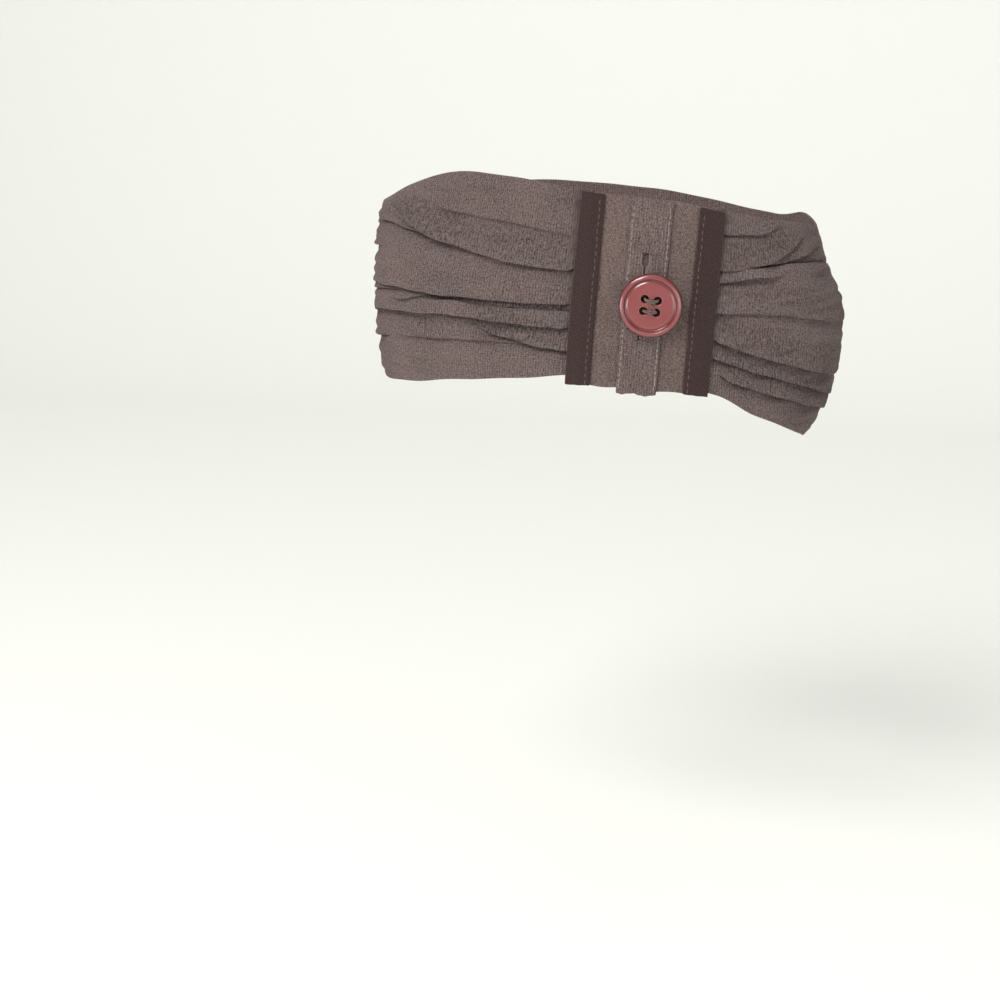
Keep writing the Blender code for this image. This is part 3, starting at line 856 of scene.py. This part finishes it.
# %% Rows of stitches
def stitch_row(along, low, high, out_at, pitch, length, radius):
    """One row up the cloth: each stitch is an arch over its own stretch, dipping in at its ends."""
    centres = np.arange(low + pitch / 2, high - pitch / 2, pitch)
    share = np.linspace(-0.5, 0.5, 7)
    angle = np.linspace(0, 2 * math.pi, 6, endpoint=False)
    thin = radius * np.sqrt(1.02 - (2 * share) ** 4 * 0.9)
    jitter = rng.normal(0, 0.06, (len(centres), 1, 1))
    s = share[None, :, None]
    up = centres[:, None, None] + length * s + rng.normal(0, 0.05, (len(centres), 1, 1))
    sunk = -0.9 * radius * (2 * s) ** 2
    across = along + jitter + thin[None, :, None] * np.cos(angle)
    height = up + 0 * across
    out = out_at(across, height) + sunk + thin[None, :, None] * np.sin(angle)
    return list(cloth_points(across, height, out))


def placket_face(along, height):
    """How far out the placket's face lies, with room for half a thread."""
    return placket_relief(along - PLACKET_MIDDLE, height) + PLACKET_WALL + 0.06


def ribbon_face(middle):
    """The same for the ribbon over a seam, as a function of along and height."""
    return lambda along, height: ribbon_relief(along - middle, height) + RIBBON_WALL + 0.03


def top_over(along):
    """Height of the cloth's upper edge at one place."""
    return float(tab_top(np.array([along]))[0])


rows_up = []
for side in (-1, 1):
    line = PLACKET_MIDDLE + side * (PLACKET_WIDTH / 2 - STITCH_INSET)
    rows_up += stitch_row(line, TAB_BOTTOM, top_over(0.0) - 0.8, placket_face,
                          pitch=STITCH_PITCH, length=1.3, radius=0.19)
placket_stitches = tubes_mesh("placket_stitches", rows_up)

RIBBON_INSET = 1.35
ribbon_rows = []
for middle, inward in ((SEAM, -1), (-SEAM, 1)):
    line = middle + inward * (RIBBON_WIDTH / 2 - RIBBON_INSET)
    ribbon_rows += stitch_row(line, TAB_BOTTOM, top_over(middle) - 0.5, ribbon_face(middle),
                              pitch=2.2, length=1.6, radius=0.14)
ribbon_stitches = tubes_mesh("ribbon_stitches", ribbon_rows)
print("stitches", len(rows_up), "and", len(ribbon_rows))

# %% [markdown]
# The buttonhole is a slit through the placket with its edges worked over in thread. A dark line
# would pass for it from afar, but not close by, so the slit is a real cut: a round eyelet at the
# top, a narrow neck and a round foot. The worked edge is short stitches laid side by side.

# %% Buttonhole
HOLE_MIDDLE, HOLE_HEIGHT, HOLE_LENGTH, HOLE_WIDTH = 0.5, 8.8, 26.4, 1.1
EYELET, EYELET_HALF, NECK_HALF = 1.9, 1.0, 0.25
SLOT_FROM, SLOT_TO = 0.05, 1.55
half_slot = HOLE_LENGTH / 2 - HOLE_WIDTH / 2
neck_top, neck_end = HOLE_LENGTH / 2 - 3.4, HOLE_LENGTH / 2 - 4.4
cap = np.linspace(0, math.pi, 9)
cap_x, cap_y = np.cos(cap) * HOLE_WIDTH / 2, np.sin(cap) * HOLE_WIDTH / 2 + half_slot
neck_x = np.array([EYELET_HALF, NECK_HALF])
slot_x = np.concatenate([cap_x * EYELET, -neck_x, -cap_x, neck_x[::-1]])
slot_y = np.concatenate([cap_y, (neck_top, neck_end), -cap_y, (neck_end, neck_top)])
slot = grid_mesh("slot_cutter", cloth_points(
    HOLE_MIDDLE + slot_x, HOLE_HEIGHT + slot_y, np.array([[SLOT_FROM], [SLOT_TO]])
))
face_out(slot.data)
cut_out(placket, [slot])
print("placket with its slit", len(placket.data.polygons), "faces")

# %% Worked edge of the buttonhole
BAR_PITCH = 0.42
EYELET_START = HOLE_HEIGHT + HOLE_LENGTH / 2 - 3.9
bars = []
for side in (-1, 1):
    centres = np.arange(HOLE_HEIGHT - half_slot, HOLE_HEIGHT + half_slot, BAR_PITCH)
    share = np.linspace(-0.5, 0.5, 5)[None, :, None]
    angle = np.linspace(0, 2 * math.pi, 6, endpoint=False)
    near_top = 1 / (1 + np.exp(-(centres - EYELET_START) * 4))
    half = (0.28 + 0.75 * near_top + rng.normal(0, 0.05, len(centres)))[:, None, None]
    across = HOLE_MIDDLE + side * (half + 0.28) + 0.7 * share + 0 * angle
    height_b = centres[:, None, None] + 0.19 * np.cos(angle) + 0.08 * share + 0 * across
    out_b = placket_face(across, height_b) - 0.12 - 0.12 * (2 * share) ** 2 + 0.14 * np.sin(angle)
    bars += list(cloth_points(across, height_b, out_b))
buttonhole_edge = tubes_mesh("buttonhole_edge", bars)
print("buttonhole edge", len(bars), "stitches")

# %% [markdown]
# The cloth is a fine jersey: each upright wale is a chain of V stitches, and a wale is about four
# fifths of a millimetre wide. An image of knitting would repeat and blur, so the pattern is made of
# sines of the cloth's own map in millimetres. It goes into the bump and, faintly, into the colour,
# with slubs, mottling and fuzz. The smallest upright puckers are drawn the same way, where the
# table of creases asks for them. From that table the band also gets painted shade, darker just
# under each lip. Light and dark are the two tones that all of this runs between.

# %% Cloth material
def jersey(name, light, dark, wale, puckers=False, slub=0.5, slant=0.0, grain=1.2):
    """Knit is a cosine across each wale plus a sine along it that slants away from its middle.
    Slant tips the wales over, slub and grain say how strongly threads and fuzz show."""
    material, shader, make, dress = new_material(name, 0.95, 0.12)
    shader.inputs["Sheen Tint"].default_value = (0.75, 0.66, 0.63, 1.0)
    shader.inputs["Specular IOR Level"].default_value = 0.12
    uv = make("UVMap", {"uv_map": "cloth_mm"}).outputs[0]
    wobble = make("TexNoise", Vector=uv, Scale=0.35, Detail=2.0).outputs[0]
    parts = make("SeparateXYZ", i0=uv).outputs
    aside = maths(make, "ADD", maths(make, "MULTIPLY", parts[1], slant), parts[0])
    aside = maths(make, "ADD", aside, maths(make, "MULTIPLY", wobble, 1.2))
    column = maths(make, "COSINE", maths(make, "MULTIPLY", aside, 2 * math.pi / wale))
    along_wale = maths(make, "MULTIPLY", parts[1], 2 * math.pi / (0.72 * wale))
    tipped = maths(make, "ADD", along_wale, maths(make, "MULTIPLY", column, 1.3))
    course = maths(make, "SINE", tipped)
    knit = maths(make, "MULTIPLY", maths(make, "ADD", column, course), 0.5)
    stretch = make("Mapping", i0=uv, i3=(1.2, 0.25, 1.0)).outputs[0]
    slubs = make("TexNoise", Vector=stretch, Scale=1.0, Detail=4.0, Roughness=0.7).outputs[0]
    place = make("TexCoord").outputs["Object"]
    mottle = make("TexNoise", Vector=place, Scale=60.0, Detail=5.0, Roughness=0.6).outputs[0]
    fuzz = make("TexNoise", Vector=uv, Scale=1.5, Detail=4.0, Roughness=0.85).outputs[0]

    def total(*terms):
        """A sum of (socket less its middle) times a weight, for each term."""
        value = 0.0
        for socket, middle, weight in terms:
            part = maths(make, "MULTIPLY", maths(make, "SUBTRACT", socket, middle), weight)
            value = maths(make, "ADD", value, part)
        return value

    colour_terms = [
        (slubs, 0.5, slub), (mottle, 0.5, 0.5), (fuzz, 0.5, 2.9 * grain), (knit, 0.0, 0.24 * grain)
    ]
    relief_terms = [(knit, 0.0, 0.15), (fuzz, 0.5, 1.1), (slubs, 0.5, 0.8 * slub)]
    # For the band: its puckers, and painted shade that darkens the colour under each crease lip.
    if puckers:
        pucker_map = make("Mapping", i0=uv, i3=(1.35, 0.55, 1.0)).outputs[0]
        noise = make("TexNoise", Vector=pucker_map, Scale=1.0, Detail=3.0, Roughness=0.6).outputs[0]
        asked = make("Attribute", {"attribute_name": "pucker"}).outputs["Fac"]
        zone = maths(make, "MINIMUM", asked, MOST_PUCKER)
        bumps = maths(make, "MULTIPLY", maths(make, "SUBTRACT", noise, 0.5), zone)
        # Painted shade under the crease lips, read from the band's shade field.
        shaded = make("Attribute", {"attribute_name": "shade"}).outputs["Fac"]
        colour_terms += [(bumps, 0.0, 1.6), (shaded, 0.0, -0.17)]
        relief_terms += [(bumps, 0.0, 4.2)]
    tone = maths(make, "ADD", total(*colour_terms), 0.5)
    dress(two_tones(make, tone, dark, light), total(*relief_terms))
    return material


taupe = jersey("taupe_jersey", (0.292, 0.219, 0.207), (0.046, 0.031, 0.029), 0.84, puckers=True)
tab_taupe = jersey(
    "taupe_tab", (0.308, 0.222, 0.203), (0.044, 0.030, 0.028), 0.70, slant=-0.6, grain=1.05
)
placket_taupe = jersey(
    "taupe_placket", (0.298, 0.219, 0.207), (0.046, 0.032, 0.030), 0.8, slub=1.1, grain=1.15
)
print("jersey", [cloth.name for cloth in (taupe, tab_taupe, placket_taupe)])

# %% [markdown]
# The ribbons are woven twill tape, whose ribs run up at a slant. A rib is about a millimetre apart
# from the next and a tenth as high, too low for geometry, so it is a sine in the bump and the tone.

# %% Twill tape
RIB_PITCH, WEFT_PITCH = 1.05, 0.35


def twill(name, light, dark):
    """Slanting ribs: a sine of up less a share of along, with noise in the colour and height."""
    material, shader, make, dress = new_material(name, 0.88, 0.15)
    shader.inputs["Specular IOR Level"].default_value = 0.25
    uv = make("UVMap", {"uv_map": "cloth_mm"}).outputs[0]
    parts = make("SeparateXYZ", i0=uv).outputs
    slope = maths(make, "ADD", maths(make, "MULTIPLY", parts[0], -1.25), parts[1])
    rib = maths(make, "SINE", maths(make, "MULTIPLY", slope, 2 * math.pi / RIB_PITCH))
    weft = maths(make, "SINE", maths(make, "MULTIPLY", parts[1], 2 * math.pi / WEFT_PITCH))
    noise = make("TexNoise", Vector=uv, Scale=1.6, Detail=6.0, Roughness=0.75).outputs[0]
    tone = maths(make, "ADD", maths(make, "MULTIPLY", rib, 0.12), noise)
    tone = maths(make, "ADD", maths(make, "MULTIPLY", maths(make, "SUBTRACT", tone, 0.5), 1.6), 0.5)
    ribs = maths(make, "MULTIPLY", rib, 0.09)
    relief = maths(make, "ADD", ribs, maths(make, "MULTIPLY", weft, 0.03))
    relief = maths(make, "ADD", relief, maths(make, "MULTIPLY", noise, 0.12))
    dress(two_tones(make, tone, dark, light, 0.15, 0.85), relief)
    return material


brown = twill("brown_twill_tape", (0.054, 0.0255, 0.0235), (0.009, 0.0040, 0.0037))
print("twill", brown.name)

# %% [markdown]
# The button is rose plastic under a clear gloss, darker in the groove and towards the outer edge.
# The soft room leaves too little shade there, so the dark rings are in the colour too, worked out
# from the distance to the middle. The threads are matt, with streaks of noise.

# %% Plastic and thread
RINGS = (  # tenths of the distance from the middle in millimetres, how much of the colour is left
    (0.69, 1.0), (0.73, 0.6), (0.79, 0.66), (0.835, 1.0), (0.90, 0.8), (0.94, 0.42)
)


def plastic():
    """Rose plastic: colour clouded a little by noise, a faint scuffed relief and a clear coat."""
    material, shader, make, dress = new_material("rose_gloss", 0.24)
    place = make("TexCoord").outputs["Object"]
    cloud = make("TexNoise", Vector=place, Scale=180.0, Detail=3.0).outputs[0]
    clouded = two_tones(make, cloud, (0.182, 0.038, 0.040), (0.235, 0.054, 0.055))
    from_middle = make("Attribute", {"attribute_name": "from_middle"}).outputs["Fac"]
    rings = make("ValToRGB", Fac=maths(make, "MULTIPLY", from_middle, 0.1))
    for place_on, grey in RINGS:
        stop = rings.color_ramp.elements.new(place_on)
        stop.color = (grey, grey ** 1.7, grey ** 1.7, 1.0)
    rings.color_ramp.elements[0].color = (1.0, 1.0, 1.0, 1.0)
    rings.color_ramp.elements[-1].color = (0.4, 0.36, 0.36, 1.0)
    mix = make("MixRGB", {"blend_type": "MULTIPLY"}, i0=1.0, i1=clouded, i2=rings.outputs[0])
    scuff = make("TexNoise", Vector=place, Scale=900.0, Detail=4.0).outputs[0]
    dress(mix.outputs[0], scuff, strength=0.25, distance=0.04 * MM)
    shader.inputs["Coat Weight"].default_value = 0.7
    shader.inputs["Coat Roughness"].default_value = 0.07
    shader.inputs["Subsurface Weight"].default_value = 0.05
    shader.inputs["Subsurface Radius"].default_value = (0.0015, 0.0006, 0.0006)
    return material


def yarn(name, light, dark, scale):
    """Thread: matt, with streaks of noise in its colour for the plies and loose fibres."""
    material, _, make, dress = new_material(name, 0.8, 0.3)
    place = make("TexCoord").outputs["Object"]
    fibres = make("TexNoise", Vector=place, Scale=scale, Detail=4.0, Roughness=0.7).outputs[0]
    tone = two_tones(make, fibres, dark, light, 0.3, 0.7)
    dress(tone, fibres, strength=0.5, distance=0.2 * MM)
    return material


rose = plastic()
thread_taupe = yarn("thread_taupe", (0.15, 0.10, 0.082), (0.045, 0.028, 0.023), 2500.0)
stitch_taupe = yarn("stitch_taupe", (0.36, 0.28, 0.265), (0.13, 0.10, 0.092), 2200.0)
hole_taupe = yarn("buttonhole_taupe", (0.23, 0.175, 0.165), (0.09, 0.066, 0.062), 2200.0)
stitch_brown = yarn("stitch_brown", (0.105, 0.068, 0.060), (0.05, 0.032, 0.03), 2200.0)
print("plastic", rose.name, "and four threads")

# %% [markdown]
# Last, each piece takes its material, rides on the one body, and stands for its imported solid.
# The ribbons are sewn to the band, and the placket and button are sewn on the tab.

# %% Dress and ride
DRESSED = (
    (band, taupe, "taupe_cloth", ("ruched_band",)),
    (tab, tab_taupe, "taupe_cloth", ("tab_panel",)),
    (placket, placket_taupe, "taupe_cloth", ("placket_strip",)),
    (ribbons[0], brown, "brown_twill", ("ribbon_front",)),
    (ribbons[1], brown, "brown_twill", ("ribbon_back",)),
    (button, rose, "rose_plastic", ("button",)),
    (thread, thread_taupe, "taupe_thread", ("thread_upper", "thread_lower")),
    (placket_stitches, stitch_taupe, "taupe_thread", ()),
    (buttonhole_edge, hole_taupe, "taupe_thread", ()),
    (ribbon_stitches, stitch_brown, "taupe_thread", ()),
)
for piece, material, slot_name, nodes in DRESSED:
    piece.data.materials.clear()
    piece.data.materials.append(material)
    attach(piece, "root")
    if nodes:
        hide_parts(*nodes)
    triangles = sum(len(p.vertices) - 2 for p in piece.data.polygons)
    print(piece.name, triangles, "triangles")

bpy.context.view_layer.update()
